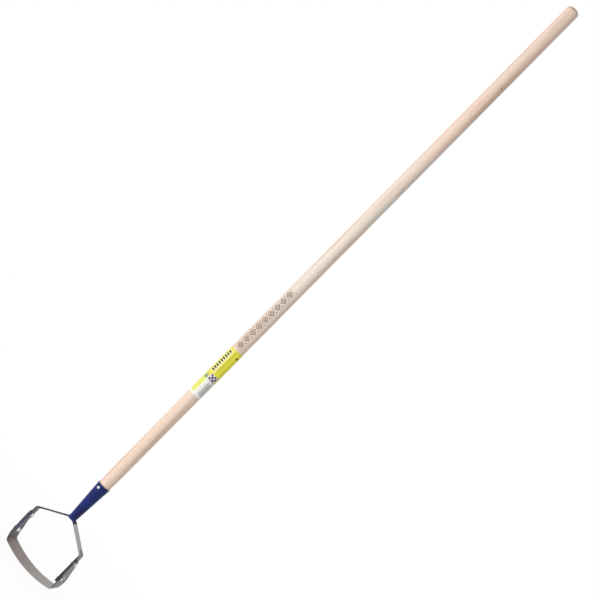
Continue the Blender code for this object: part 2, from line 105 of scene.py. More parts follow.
class Signal:
    """An output in a material's nodes. Arithmetic on it adds Math nodes, 1 - mask as well as mask - 1."""

    def __init__(self, tree, socket=None):
        self.tree = tree
        self.socket = socket

    def node(self, kind, settings=None, sockets=None, output=0):
        """Adds a node: its settings first, then the values or links of its sockets."""
        made = self.tree.nodes.new("ShaderNode" + kind)
        for name, value in (settings or {}).items():
            setattr(made, name, value)
        for name, value in (sockets or {}).items():
            socket = made.inputs[name]
            if isinstance(value, Signal):
                self.tree.links.new(value.socket, socket)
            elif socket.type == "RGBA":
                socket.default_value = (*value, 1.0)
            else:
                socket.default_value = value
        return Signal(self.tree, made.outputs[output] if len(made.outputs) else None)

    def math(self, operation, *values):
        return self.node("Math", {"operation": operation}, dict(enumerate(values)))

    def __add__(self, other):
        return self.math("ADD", self, other)

    def __sub__(self, other):
        return self.math("SUBTRACT", self, other)

    def __rsub__(self, other):
        return self.math("SUBTRACT", other, self)

    def __mul__(self, other):
        return self.math("MULTIPLY", self, other)

    def __truediv__(self, other):
        return self.math("DIVIDE", self, other)

    def __pow__(self, other):
        return self.math("POWER", self, other)

    def __abs__(self):
        return self.math("ABSOLUTE", self)

    __radd__ = __add__
    __rmul__ = __mul__

    def above(self, edge, softness):
        """A mask that rises softly from 0 to 1 where the value passes an edge."""
        ends = {"Value": self, "From Min": edge - softness / 2, "From Max": edge + softness / 2}
        return self.node("MapRange", {"interpolation_type": "SMOOTHSTEP"}, ends)

    def near(self, centre, half, softness):
        """A mask that is 1 within half a width of a centre."""
        return 1 - abs(self - centre).above(half, softness)

    def between(self, low, high):
        """The colour that lies this far from low to high."""
        return self.node("Mix", {"data_type": "RGBA"}, {0: self, 6: low, 7: high}, 2)

    def parts(self):
        """The x, y and z of a vector."""
        first = self.node("SeparateXYZ", sockets={"Vector": self})
        return [Signal(self.tree, out) for out in first.socket.node.outputs]

    def stretched(self, x, y, z):
        """A vector multiplied by x, y and z, so that a pattern on it has its own scale each way."""
        return self.node("VectorMath", {"operation": "MULTIPLY"}, {0: self, 1: (x, y, z)})

    def noise(self, detail=3.0, roughness=0.55):
        """Soft noise, about 0.2 to 0.8, that changes over one unit of the vector."""
        sockets = {"Vector": self, "Scale": 1.0, "Detail": detail, "Roughness": roughness}
        return self.node("TexNoise", sockets=sockets)

    def spots(self, size, softness):
        """A mask of scattered round spots, about one for each unit of the vector."""
        cells = self.node("TexVoronoi", sockets={"Vector": self, "Scale": 1.0})
        return 1 - cells.above(size, softness)


def new_material(name):
    """An empty material, and the place on the piece in metres to start its nodes from."""
    material = bpy.data.materials.new(name)
    material.use_nodes = True
    material.node_tree.nodes.clear()
    return material, Signal(material.node_tree).node("TexCoord", output="Object")


def shade(place, color, roughness, height, depth, others=None):
    """Ends a material's nodes with a shader, whose surface is raised by a height times a depth."""
    normal = place.node("Bump", sockets={"Height": height, "Distance": depth, "Strength": 1.0})
    sockets = {"Base Color": color, "Roughness": roughness, "Normal": normal}
    sockets.update(others or {})
    shader = place.node("BsdfPrincipled", sockets=sockets)
    place.node("OutputMaterial", sockets={"Surface": shader})


def burned_ornament(x, y, z):
    """A chain of lozenges with dots, burned round the handle's front: its lines and its scorch."""
    across = x.math("ARCTAN2", x, 0 - y) * HANDLE_RADIUS / BURN_HALF_WIDTH
    cells = (z - BURN_LOW) / BURN_CELL
    along = (cells.math("FRACT", cells) - 0.5) * 2
    inside = cells.near(BURN_CELLS / 2, BURN_CELLS / 2, 0.02)
    lozenge = abs(along) * 1.08 + abs(across) * 1.02
    outline = lozenge.near(LOZENGE_EDGE, BURN_LINE, 0.06)
    heart = lozenge.near(HEART_EDGE, BURN_LINE, 0.06)
    gap_x = (1 - abs(along)) * (BURN_CELL / BURN_HALF_WIDTH / 2)
    gap_y = abs(across) - 0.82
    dots = 1 - x.math("SQRT", gap_x * gap_x + gap_y * gap_y).above(0.15, 0.08)
    lines = x.math("MAXIMUM", x.math("MAXIMUM", outline, heart), dots) * inside
    scorch = abs(across).near(0, 1.15, 0.7) * cells.near(BURN_CELLS / 2, BURN_CELLS / 2 + 0.2, 0.6)
    return lines, scorch


def beech():
    """Pale beech with year rings, flecks and a knot: rosy low down, aged and duller higher up."""
    material, place = new_material("pale_beech")
    x, y, z = place.parts()
    sway = place.stretched(7, 7, 1.9).noise(2) - 0.5
    drift = place.stretched(5, 5, 3.3).noise(2) - 0.5
    off_x = x - PITH_X + sway * 0.034
    off_y = y - PITH_Y + drift * 0.026
    fibre = place.stretched(1500, 1500, 34).noise(4, 0.6)
    pith = x.math("SQRT", off_x * off_x + off_y * off_y)
    year = pith / YEAR_RING + fibre * 0.35
    late = x.math("FRACT", year) ** 3.2
    grouped = place.stretched(60, 60, 9).noise().above(0.50, 0.2)
    flecks = place.stretched(820, 820, 105).spots(0.23, 0.14) * grouped
    patches = place.stretched(22, 22, 4.6).noise(3).above(0.50, 0.34)
    warm = place.stretched(34, 34, 2.7).noise(3).above(0.54, 0.30)
    lines, scorch = burned_ornament(x, y, z)
    uneven = place.stretched(420, 420, 160).noise(3)
    lines = lines * (uneven.above(0.28, 0.30) * 0.3 + 0.7)
    tip = z.above(handle_high.z - HANDLE_END_HEIGHT * 0.8, HANDLE_END_HEIGHT * 0.8)
    crown = z.above(handle_high.z - CROWN_HEIGHT, CROWN_FADE)
    streaks = place.stretched(120, 120, 5.5).noise(3).above(0.57, 0.16)
    knot = place.node("VectorMath", {"operation": "DISTANCE"}, {0: place, 1: KNOT}, "Value")
    knot = 1 - (knot + (fibre - 0.5) * 0.0012).above(KNOT_RADIUS, KNOT_RADIUS * 1.2)
    low_end = 1 - z.above(ROSY_BELOW, ROSY_FADE)
    high_end = z.above(AGED_ABOVE, AGED_FADE)
    color = warm.between(WOOD_PALE, WOOD_WARM)
    color = (patches * 0.60).between(color, WOOD_ROSY)
    color = (low_end * 0.9).between(color, WOOD_ROSY)
    color = (high_end * 0.85).between(color, WOOD_AGED)
    color = (streaks * 0.50).between(color, WOOD_STREAK)
    color = (late * 0.34).between(color, WOOD_RING)
    color = (fibre.above(0.56, 0.22) * 0.12).between(color, WOOD_RING)
    color = (flecks * 0.32).between(color, WOOD_FLECK)
    color = (knot * 0.75).between(color, KNOT_BROWN)
    color = (tip * 0.50).between(color, WOOD_END)
    color = (crown * 0.85).between(color, WOOD_CROWN)
    color = (scorch * uneven * 0.34).between(color, BURN_SCORCH)
    color = (lines * 0.95).between(color, BURN_BROWN)
    roughness = 0.46 + fibre * 0.14 + lines * 0.20 - late * 0.05
    height = fibre * 0.20 - flecks * 0.35 - late * 0.15 - lines
    shade(place, color, roughness, height, 0.00007, {"Specular IOR Level": 0.30})
    return material


def loft(rings, closed=False):
    """Joins rings of points into one surface: capped at both ends, or closed on itself."""
    bm = bmesh.new()
    loops = [[bm.verts.new(point) for point in ring] for ring in rings]
    pairs = list(zip(loops, loops[1:]))
    if closed:
        pairs.append((loops[-1], loops[0]))
    for low, high in pairs:
        for i in range(len(low)):
            j = (i + 1) % len(low)
            bm.faces.new((low[i], low[j], high[j], high[i]))
    if not closed:
        bm.faces.new(loops[0][::-1])
        bm.faces.new(loops[-1])
    return bm


def turned(outline, steps, closed=False, shape=None):
    """A turned surface from (radius, z) points. A shape changes the radius at an angle and height."""
    rings = []
    for radius, z in outline:
        ring = []
        for i in range(steps):
            a = 2 * math.pi * i / steps
            r = shape(radius, a, z) if shape else radius
            ring.append((r * math.cos(a), r * math.sin(a), z))
        rings.append(ring)
    return loft(rings, closed)


def arc(centre_x, centre_y, radius_x, radius_y, start, end, steps):
    """Points on a quarter of an ellipse or any other stretch of one; angles in degrees."""
    points = []
    for i in range(steps + 1):
        a = math.radians(start + (end - start) * i / steps)
        points.append((centre_x + radius_x * math.cos(a), centre_y + radius_y * math.sin(a)))
    return points


def add_piece(name, bm, materials, smooth_angle=35):
    """Makes a piece of a surface, shaded smooth between its sharp edges."""
    bmesh.ops.recalc_face_normals(bm, faces=bm.faces)
    mesh = bpy.data.meshes.new(name)
    bm.to_mesh(mesh)
    bm.free()
    mesh.shade_smooth()
    mesh.set_sharp_from_angle(angle=math.radians(smooth_angle))
    for material in materials:
        mesh.materials.append(material)
    piece = bpy.data.objects.new(name, mesh)
    bpy.context.scene.collection.objects.link(piece)
    return piece


def socket_radius(z):
    """The socket's outer radius at a height."""
    share = (z - socket_low.z) / (socket_high.z - socket_low.z)
    return SOCKET_FOOT_RADIUS + share * (SOCKET_MOUTH_RADIUS - SOCKET_FOOT_RADIUS)


def handle_outline():
    """Cone, long shoulder, shaft and rounded end, from the lower tip up."""
    mouth_radius = socket_radius(socket_high.z) - SOCKET_WALL - FIT
    tip_edge = handle_low.z + HANDLE_TIP_CHAMFER
    tip_radius = socket_radius(tip_edge) - SOCKET_WALL - FIT
    outline = [(tip_radius - HANDLE_TIP_CHAMFER, handle_low.z), (tip_radius, tip_edge)]
    cone_steps = 8
    for i in range(1, cone_steps + 1):
        share = i / cone_steps
        radius = tip_radius + share * (mouth_radius - tip_radius)
        outline.append((radius, tip_edge + share * (socket_high.z - tip_edge)))
    shoulder_steps = 20
    for i in range(1, shoulder_steps + 1):
        swell = math.sin(i / shoulder_steps * math.pi / 2)
        radius = mouth_radius + swell * (HANDLE_RADIUS - mouth_radius)
        outline.append((radius, socket_high.z + i / shoulder_steps * HANDLE_SHOULDER))
    shaft_low = socket_high.z + HANDLE_SHOULDER
    dome_foot = handle_high.z - HANDLE_END_HEIGHT
    shaft_steps = round((dome_foot - shaft_low) / SHAFT_RING)
    for i in range(1, shaft_steps):
        outline.append((HANDLE_RADIUS, shaft_low + (dome_foot - shaft_low) * i / shaft_steps))
    flat_radius = HANDLE_RADIUS - HANDLE_END_ROUND
    return outline + arc(flat_radius, dome_foot, HANDLE_END_ROUND, HANDLE_END_HEIGHT, 0, 90, 16)


handle = add_piece("turned_handle", turned(handle_outline(), HANDLE_STEPS), [beech()])
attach(handle, "tool")
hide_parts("handle")

# Label
# A strip of printed paper, pasted round the handle above the socket. Its ends don't meet at the
# back and have begun to lift. The print is plain bars, checks and blocks of colour.
label_low, label_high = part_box("label")
LABEL_THICKNESS = 0.00025
LABEL_WRAP = math.radians(300)
LABEL_CENTRE = math.radians(-70)
LABEL_LIFT = 0.00030
LABEL_LIFT_SHARE = 0.035
LABEL_STEPS = 160
LABEL_ROWS = 60
CHECK_HEIGHT, CHECK_WIDTH = 8.6, 8.2
PAPER_LIME = (0.83, 0.86, 0.19)
PAPER_YELLOW = (0.90, 0.85, 0.13)
PAPER_DEEP = (0.88, 0.79, 0.06)
# The gold is partly print and partly a painted sheen.
PAPER_GOLD_AND_SHEEN = (1.00, 0.925, 0.06)
PAPER_WHITE = (0.98, 0.96, 0.92)
PRINT_BLACK = (0.02, 0.014, 0.012)
PRINT_GREY = (0.22, 0.19, 0.24)
PRINT_BLUE = (0.15, 0.24, 0.36)
PRINT_LILAC = (0.74, 0.70, 0.86)
PRINT_OLIVE = (0.38, 0.36, 0.025)


def label_sheet():
    """The bent sheet, one ring round its thickness at each angle."""
    inner = HANDLE_RADIUS + FIT
    length = label_high.z - label_low.z
    rings = []
    for i in range(LABEL_STEPS + 1):
        share = i / LABEL_STEPS
        a = LABEL_CENTRE + LABEL_WRAP * (share - 0.5)
        to_end = min(share, 1 - share) / LABEL_LIFT_SHARE
        lift = LABEL_LIFT * max(1 - to_end, 0) ** 2
        outer_side, inner_side = [], []
        for j in range(LABEL_ROWS + 1):
            height = j / LABEL_ROWS
            ripple = 1 + 0.5 * math.sin(height * 17 + share * 5)
            r = inner + lift * ripple
            z = label_low.z + height * length
            outer = r + LABEL_THICKNESS
            outer_side.append((outer * math.cos(a), outer * math.sin(a), z))
            inner_side.append((r * math.cos(a), r * math.sin(a), z))
        rings.append(outer_side + inner_side[::-1])
    return loft(rings)


def printed_paper():
    """Coated yellow paper with a white panel and a generic print, a little scuffed, and a painted sheen
    on its right side.
    """
    material, place = new_material("printed_paper")
    z = place.parts()[2]
    ahead = (math.cos(LABEL_CENTRE), math.sin(LABEL_CENTRE), 0)
    aside = (-ahead[1], ahead[0], 0)
    dot = {"operation": "DOT_PRODUCT"}
    front = place.node("VectorMath", dot, {0: place, 1: ahead}, "Value")
    side = place.node("VectorMath", dot, {0: place, 1: aside}, "Value")
    mm = 0.001
    up = (z - label_low.z) / mm
    across = z.math("ARCTAN2", side, front) * (HANDLE_RADIUS / mm)

    def block(low, high, left, right, softness=0.35):
        """A rectangle's mask, in millimetres up the label and round from its middle."""
        tall = up.near((low + high) / 2, (high - low) / 2, softness)
        return tall * across.near((left + right) / 2, (right - left) / 2, softness)

    def bars(spacing, width):
        """A mask of bars across the label, spaced and sized in millimetres."""
        share = z.math("FRACT", up / spacing)
        return share.near(0.5, width / spacing / 2, 0.3 / spacing)

    grain = place.stretched(900, 900, 900).noise(4)
    fade = place.stretched(120, 120, 40).noise(3)
    color = fade.above(0.5, 0.5).between(PAPER_YELLOW, PAPER_DEEP)
    # The right side turns a brighter gold: partly print, partly a painted sheen.
    color = (across.above(3.0, 4.0) * 0.9).between(color, PAPER_GOLD_AND_SHEEN)
    color = block(-2, 42, -19.0, -5.2).between(color, PAPER_LIME)
    color = block(-2, 42, -5.4, 19.0).between(color, PAPER_WHITE)
    color = (block(-2, 6, -19.0, -5.8) * 0.85).between(color, PAPER_WHITE)
    color = (block(7, 37, 2.6, 14.5) * bars(5.0, 2.6) * 0.60).between(color, PRINT_GREY)
    color = (block(7, 37, 2.6, 14.5, 1.5) * 0.16).between(color, PRINT_GREY)
    color = (block(9, 39, -4.0, 0.4) * bars(3.1, 0.7) * 0.15).between(color, PRINT_GREY)
    color = block(40.5, 55.5, -5.4, 13.5).between(color, PRINT_LILAC)
    rows = z.math("FRACT", up / CHECK_HEIGHT).above(0.5, 0.05)
    columns = z.math("FRACT", across / CHECK_WIDTH).above(0.5, 0.05)
    color = (block(42.0, 54.8, -3.4, 12.8) * abs(rows - columns)).between(color, PRINT_BLACK)
    color = (block(40.5, 47.5, -14.5, -7.2) * 0.85).between(color, PRINT_BLUE)
    color = (block(48.5, 52.0, -13.0, -8.0) * 0.45).between(color, PRINT_BLUE)
    color = (block(59, 115, -14.6, -2.5, 2.5) * 0.35).between(color, PAPER_WHITE)
    color = (block(60.4, 113.6, -13.8, -6.4) * bars(6.0, 3.6) * 0.97).between(color, PRINT_BLACK)
    color = (block(62, 117, -0.2, 1.1) * 0.80).between(color, PRINT_OLIVE)
    color = (block(62, 117, 2.6, 3.2, 0.5) * 0.50).between(color, PRINT_OLIVE)
    color = block(105.8, 110.8, 9.8, 14.2).between(color, PRINT_BLACK)
    color = (block(72, 74, 9.0, 12.0) * 0.6).between(color, PRINT_OLIVE)
    scuffs = place.stretched(260, 260, 700).noise(5).above(0.66, 0.10)
    color = (scuffs * 0.18).between(color, PAPER_WHITE)
    roughness = 0.36 + grain * 0.14 + scuffs * 0.15
    height = grain * 0.35 + fade * 1.5 - scuffs * 0.3
    shade(place, color, roughness, height, 0.00006, {"Specular IOR Level": 0.30})
    return material


label = add_piece("pasted_label", label_sheet(), [printed_paper()])
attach(label, "tool")
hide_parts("label")

# Rivet
# A steel rivet that joins the yoke to the socket. It is closed flush in a countersink under the
# yoke's seat, has a low round head inside the socket, and was painted with them.
rivet_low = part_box("yoke_rivet")[0]
yoke_low, yoke_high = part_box("yoke")
RIVET_RADIUS = 0.0030
RIVET_SINK_RIM = 0.0020
RIVET_SINK_DEPTH = 0.0020
RIVET_TOP_RIM = 0.0016
RIVET_TOP_HEIGHT = 0.0018
SOCKET_BASE = 0.0025
YOKE_THICKNESS = 0.0035
YOKE_TOP_Z = yoke_high.z
YOKE_UNDER_Z = YOKE_TOP_Z - YOKE_THICKNESS
SEAT_PAINT_HALF = 0.0098
ENAMEL = (0.0048, 0.013, 0.108)
ENAMEL_BRIGHT = (0.01, 0.021, 0.175)
ENAMEL_THIN = (0.014, 0.02, 0.058)
CHIPPED_STEEL = (0.30, 0.29, 0.29)
TURNED_STEPS = 48


def enamel_color(place):
    """Dark blue paint, thicker and brighter in places, thin and dull in others."""
    cloud = place.stretched(55, 55, 38).noise(3)
    color = cloud.above(0.54, 0.30).between(ENAMEL, ENAMEL_BRIGHT)
    return (place.stretched(160, 160, 90).noise(4).above(0.66, 0.14) * 0.6).between(color, ENAMEL_THIN)


def enamel(name, worn_at=()):
    """Glossy stoved enamel with a fine orange peel, dust nibs, and chips along worn edges."""
    material, place = new_material(name)
    z = place.parts()[2]
    peel = place.stretched(430, 430, 430).noise(2)
    nibs = place.stretched(330, 330, 330).spots(0.10, 0.10)
    flakes = place.stretched(900, 900, 900).noise(5)
    chips = 0.0
    for edge_z, reach in worn_at:
        chips = chips + z.near(edge_z, reach / 2, reach) * 0.30
    scratches = place.stretched(1400, 1400, 45).noise(4).above(0.76, 0.05) * 0.7
    bare = (flakes + chips).above(0.80, 0.05) if worn_at else flakes.above(0.84, 0.04)
    color = (scratches * 0.5).between(enamel_color(place), ENAMEL_THIN)
    color = bare.between(color, CHIPPED_STEEL)
    roughness = 0.20 + peel * 0.10 + scratches * 0.25 + bare * 0.25
    height = peel * 0.5 + nibs * 0.9 - bare - scratches * 0.3
    others = {"Metallic": bare, "Specular IOR Level": 0.21}
    shade(place, color, roughness, height, 0.00006, others)
    return material


def domed_head(radius, height, steps=12):
    """Outline of a low dome that stands on z = 0."""
    return arc(0, 0, radius, height, 4, 88, steps)


def rivet_outline():
    """Countersunk foot, shank, and a low round head on the socket's base."""
    seat = socket_low.z + SOCKET_BASE + FIT
    outline = [(RIVET_RADIUS + RIVET_SINK_RIM, rivet_low.z)]
    outline += [(RIVET_RADIUS, rivet_low.z + RIVET_SINK_DEPTH), (RIVET_RADIUS, seat)]
    for r, z in domed_head(RIVET_RADIUS + RIVET_TOP_RIM, RIVET_TOP_HEIGHT):
        outline.append((r, seat + z))
    return outline


rivet = add_piece("flush_rivet", turned(rivet_outline(), TURNED_STEPS), [enamel("rivet_enamel")])
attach(rivet, "tool")
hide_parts("yoke_rivet")

# Socket
# Sheet steel rolled to a cone round the handle's end and drawn in to a base, with an open seam
# down its back. Its foot flares out on the yoke's seat. It is dipped in dark blue enamel.
SOCKET_FLARE = 0.0016
SOCKET_FLARE_HEIGHT = 0.0020
SOCKET_EDGE_ROUND = 0.0005
SOCKET_ROLL_WAVE = 0.00009
SEAM_WIDTH = 0.0012
SEAM_FOOT = 0.0120
SOCKET_STEPS = 120


def socket_outline():
    """Foot, flare, cone, rounded mouth, then the bore down to the base."""
    hole = RIVET_RADIUS + FIT
    rim = SOCKET_FOOT_RADIUS + SOCKET_FLARE
    flare_top = socket_low.z + SOCKET_FLARE_HEIGHT
    flare = rim - socket_radius(flare_top)
    outline = [(hole, socket_low.z)]
    outline += arc(rim, flare_top, flare, SOCKET_FLARE_HEIGHT, 268, 180, 10)
    mouth = socket_high.z - SOCKET_EDGE_ROUND
    cone_steps = 24
    for i in range(1, cone_steps + 1):
        z = flare_top + (mouth - flare_top) * i / cone_steps
        outline.append((socket_radius(z), z))
    middle = socket_radius(mouth) - SOCKET_EDGE_ROUND
    outline += arc(middle, mouth, SOCKET_EDGE_ROUND, SOCKET_EDGE_ROUND, 15, 90, 4)
    bore_edge = socket_radius(mouth) - SOCKET_WALL + SOCKET_EDGE_ROUND
    outline += arc(bore_edge, mouth, SOCKET_EDGE_ROUND, SOCKET_EDGE_ROUND, 90, 180, 4)
    floor = socket_low.z + SOCKET_BASE
    outline += [(socket_radius(floor) - SOCKET_WALL, floor), (hole, floor)]
    return outline


def rolled(radius, a, z):
    """The slight flats that bending rolls leave in the cone."""
    up = (z - socket_low.z) / (socket_high.z - socket_low.z)
    return radius - SOCKET_ROLL_WAVE * up * (1 - math.cos(7 * a + 2.5 * up)) / 2


def cutter(name, bm):
    """A shape that is cut out of others and isn't a piece itself."""
    tool = add_piece(name, bm, [])
    tool.hide_render = True
    tool.display_type = "WIRE"
    return tool


def cut(piece, tool):
    """Takes the tool's shape out of a piece."""
    modifier = piece.modifiers.new("cut_" + tool.name, "BOOLEAN")
    modifier.operation = "DIFFERENCE"
    modifier.solver = "EXACT"
    modifier.object = tool


seam = bmesh.new()
bmesh.ops.create_cube(seam, size=1.0)
seam_length = socket_high.z - socket_low.z
bmesh.ops.scale(seam, vec=(SEAM_WIDTH, SOCKET_MOUTH_RADIUS * 2, seam_length), verts=seam.verts)
seam_z = YOKE_TOP_Z + SEAM_FOOT + seam_length / 2
bmesh.ops.translate(seam, vec=(0, SOCKET_MOUTH_RADIUS, seam_z), verts=seam.verts)
socket_enamel = enamel("socket_enamel", ((socket_high.z, 0.0035),))
socket_surface = turned(socket_outline(), SOCKET_STEPS, True, rolled)
socket = add_piece("rolled_socket", socket_surface, [socket_enamel])
cut(socket, cutter("seam_tool", seam))
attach(socket, "tool")
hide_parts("socket")

# Nail
# A short galvanised nail with a low round head, driven through the socket's front into the wood
# just below the socket's mouth. The hammer has left it slightly uneven.
NAIL_BELOW_MOUTH = 0.0088
NAIL_TURN = math.radians(-5)
NAIL_RADIUS = 0.0015
NAIL_LENGTH = 0.0110
NAIL_POINT = 0.0025
NAIL_TIP_RADIUS = 0.0003
NAIL_HEAD_RADIUS = 0.0032
NAIL_HEAD_HEIGHT = 0.0015
NAIL_DENT = 0.00012
ZINC_LIGHT = (0.84, 0.845, 0.86)
ZINC_DULL = (0.56, 0.57, 0.60)
# The darkest zinc colour is painted shade, for the rims of heads.
ZINC_SHADE = (0.17, 0.17, 0.18)


def zinc(name, shade_radius):
    """Bright zinc plate: cloudy crystals, fine scratches, and painted shade round a head's rim, where it
    meets its seat.
    """
    material, place = new_material(name)
    x, y = place.parts()[:2]
    radius = x.math("SQRT", x * x + y * y)
    crystals = place.stretched(700, 700, 700).noise(4)
    scratches = place.stretched(2600, 300, 2600).noise(4).above(0.70, 0.08)
    # Painted shade: darker beyond a radius, round a head's rim where it meets its seat.
    rim_shade = radius.above(shade_radius, shade_radius * 0.16) * (crystals * 0.6 + 0.45)
    color = crystals.above(0.48, 0.36).between(ZINC_LIGHT, ZINC_DULL)
    color = (rim_shade * 0.60).between(color, ZINC_SHADE)
    roughness = 0.20 + crystals * 0.22 + rim_shade * 0.25 + scratches * 0.12
    height = crystals * 0.6 - scratches * 0.4
    shade(place, color, roughness, height, 0.00004, {"Metallic": 1.0})
    return material


def nail_outline():
    """Point, shank and head; the head stands on z = 0."""
    outline = [(NAIL_TIP_RADIUS, -NAIL_LENGTH), (NAIL_RADIUS, NAIL_POINT - NAIL_LENGTH)]
    outline += [(NAIL_RADIUS, 0), (NAIL_HEAD_RADIUS * 0.96, 0)]
    return outline + domed_head(NAIL_HEAD_RADIUS, NAIL_HEAD_HEIGHT)


def hammered(radius, a, z):
    """The dents of a few blows on the head's rim."""
    return radius - NAIL_DENT * (1 + math.sin(3 * a + 0.7) * math.cos(2 * a)) if z > 0 else radius


nail_z = socket_high.z - NAIL_BELOW_MOUTH
nail_lean = math.atan2(SOCKET_MOUTH_RADIUS - SOCKET_FOOT_RADIUS, socket_high.z - socket_low.z)
nail_place = Matrix.Rotation(NAIL_TURN, 4, "Z")
nail_place @= Matrix.Translation((0, -socket_radius(nail_z) - FIT, nail_z))
nail_place @= Matrix.Rotation(math.pi / 2 + nail_lean, 4, "X")
nail_surface = turned(nail_outline(), TURNED_STEPS, shape=hammered)
nail = add_piece("domed_nail", nail_surface, [zinc("nail_zinc", NAIL_HEAD_RADIUS * 0.92)])
nail.matrix_world = nail_place
nail_hole = [(NAIL_RADIUS + FIT, h) for h in (-NAIL_LENGTH - FIT, NAIL_HEAD_HEIGHT)]
nail_tool = cutter("nail_tool", turned(nail_hole, TURNED_STEPS))
nail_tool.matrix_world = nail_place
cut(socket, nail_tool)
cut(handle, nail_tool)
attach(nail, "tool")
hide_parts("socket_nail")

# Yoke
# Flat mild-steel strap, cut to length, drilled and bent to a seat, two shoulders and two arms.
# The seat took the socket's enamel. The rest is bare, with black mill edges and a blue-violet tint
# inside the arms. Painted shade darkens its arms, their inner faces, its bends, part of its edges
# and its roots beside the seat, and painted light keeps the right shoulder's edges grey.
YOKE_HALF_SPAN = yoke_high.x
YOKE_WIDTH = yoke_high.y - yoke_low.y
YOKE_FLAT_HALF = 0.0080
YOKE_SHOULDER_DROP = 0.0345
YOKE_ROOT_BEND = 0.0090
YOKE_SHOULDER_BEND = 0.0070
YOKE_EDGE_ROUND = 0.0005
BEND_STEPS = 20
BOLT_RADIUS = 0.0025
PIVOT_Z = frame["joints"][0]["pos_m"][2]
STOP_Z = sum(corner.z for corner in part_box("stop_bolt_left")) / 2
ARM_TOP_Z = YOKE_TOP_Z - YOKE_SHOULDER_DROP
ARM_SHADE_Z = ARM_TOP_Z - 0.0040
BEND_SHADE_X = YOKE_HALF_SPAN - 0.0105
LIT_EDGE_FROM = 0.0060
# Painted shadow on the strap's roots beside the seat: its middle and half width.
ROOT_SHADOW_X = SEAT_PAINT_HALF + 0.0022
ROOT_SHADOW_HALF = 0.0025
STRAP_LIGHT = (0.40, 0.40, 0.405)
STRAP_GREY = (0.28, 0.28, 0.285)
# The next three colours are painted shade: at the shoulder bends, on the arms and on the arms' inner
# faces.
STRAP_BEND_SHADE = (0.155, 0.153, 0.153)
STRAP_ARM_SHADE = (0.165, 0.165, 0.17)
STRAP_INSIDE_SHADE = (0.11, 0.108, 0.112)
STRAP_TINT = (0.10, 0.082, 0.19)
# The next three colours are black mill scale and partly painted shade on the edges; the last also paints
# the shadow at the seat's roots.
EDGE_SCALE_SHADE = (0.052, 0.052, 0.056)
EDGE_SCALE_SHADE_TINT = (0.066, 0.062, 0.10)
SCALE_AND_SHADE_BLACK = (0.03, 0.03, 0.036)
TINT_HALF = 0.0130
TINT_TO_Y = 0.0005


def rounded_path(corners, bends, steps):
    """Points along straight runs whose inner corners are rounded to the given radii."""
    path = [Vector(corners[0])]
    for before, corner, after, radius in zip(corners, corners[1:], corners[2:], bends):
        corner = Vector(corner)
        back = (Vector(before) - corner).normalized()
        ahead = (Vector(after) - corner).normalized()
        half = back.angle(ahead) / 2
        centre = corner + (back + ahead).normalized() * (radius / math.sin(half))
        start = corner + back * (radius / math.tan(half)) - centre
        end = corner + ahead * (radius / math.tan(half)) - centre
        for i in range(steps + 1):
            path.append(centre + start.lerp(end, i / steps).normalized() * radius)
    path.append(Vector(corners[-1]))
    return path


def strap(path, section_at):
    """A strap along a path in the XZ plane. Its "band" map holds metres along and across it."""
    rings, places, along = [], [], 0.0
    for i, point in enumerate(path):
        run = (path[min(i + 1, len(path) - 1)] - path[max(i - 1, 0)]).normalized()
        inner = Vector((run.y, -run.x))
        along += (point - path[i - 1]).length if i else 0.0
        section = section_at(point)
        rings.append([(point.x + inner.x * h, y, point.y + inner.y * h) for y, h in section])
        places.append([(along, y + h) for y, h in section])
    bm = loft(rings)
    bm.verts.index_update()
    flat = [place for ring in places for place in ring]
    band = bm.loops.layers.uv.new("band")
    for face in bm.faces:
        for corner in face.loops:
            corner[band].uv = flat[corner.vert.index]
    return bm


def rounded_section(half, thickness, edge):
    """Outline of a flat strap with rounded edges, as (across the strap, through it)."""
    w, t = half - edge, thickness / 2 - edge
    points = []
    for side_y, side_t, start in ((w, t, 0), (-w, t, 90), (-w, -t, 180), (w, -t, 270)):
        points += arc(side_y, side_t, edge, edge, start, start + 90, 3)
    return points


def cross_drill(name, radius, z):
    """A round cutter along X that passes through both arms."""
    reach = YOKE_HALF_SPAN * 2
    tool = cutter(name, turned([(radius, -reach), (radius, reach)], TURNED_STEPS))
    tool.matrix_world = Matrix.Translation((0, 0, z)) @ Matrix.Rotation(math.pi / 2, 4, "Y")
    return tool


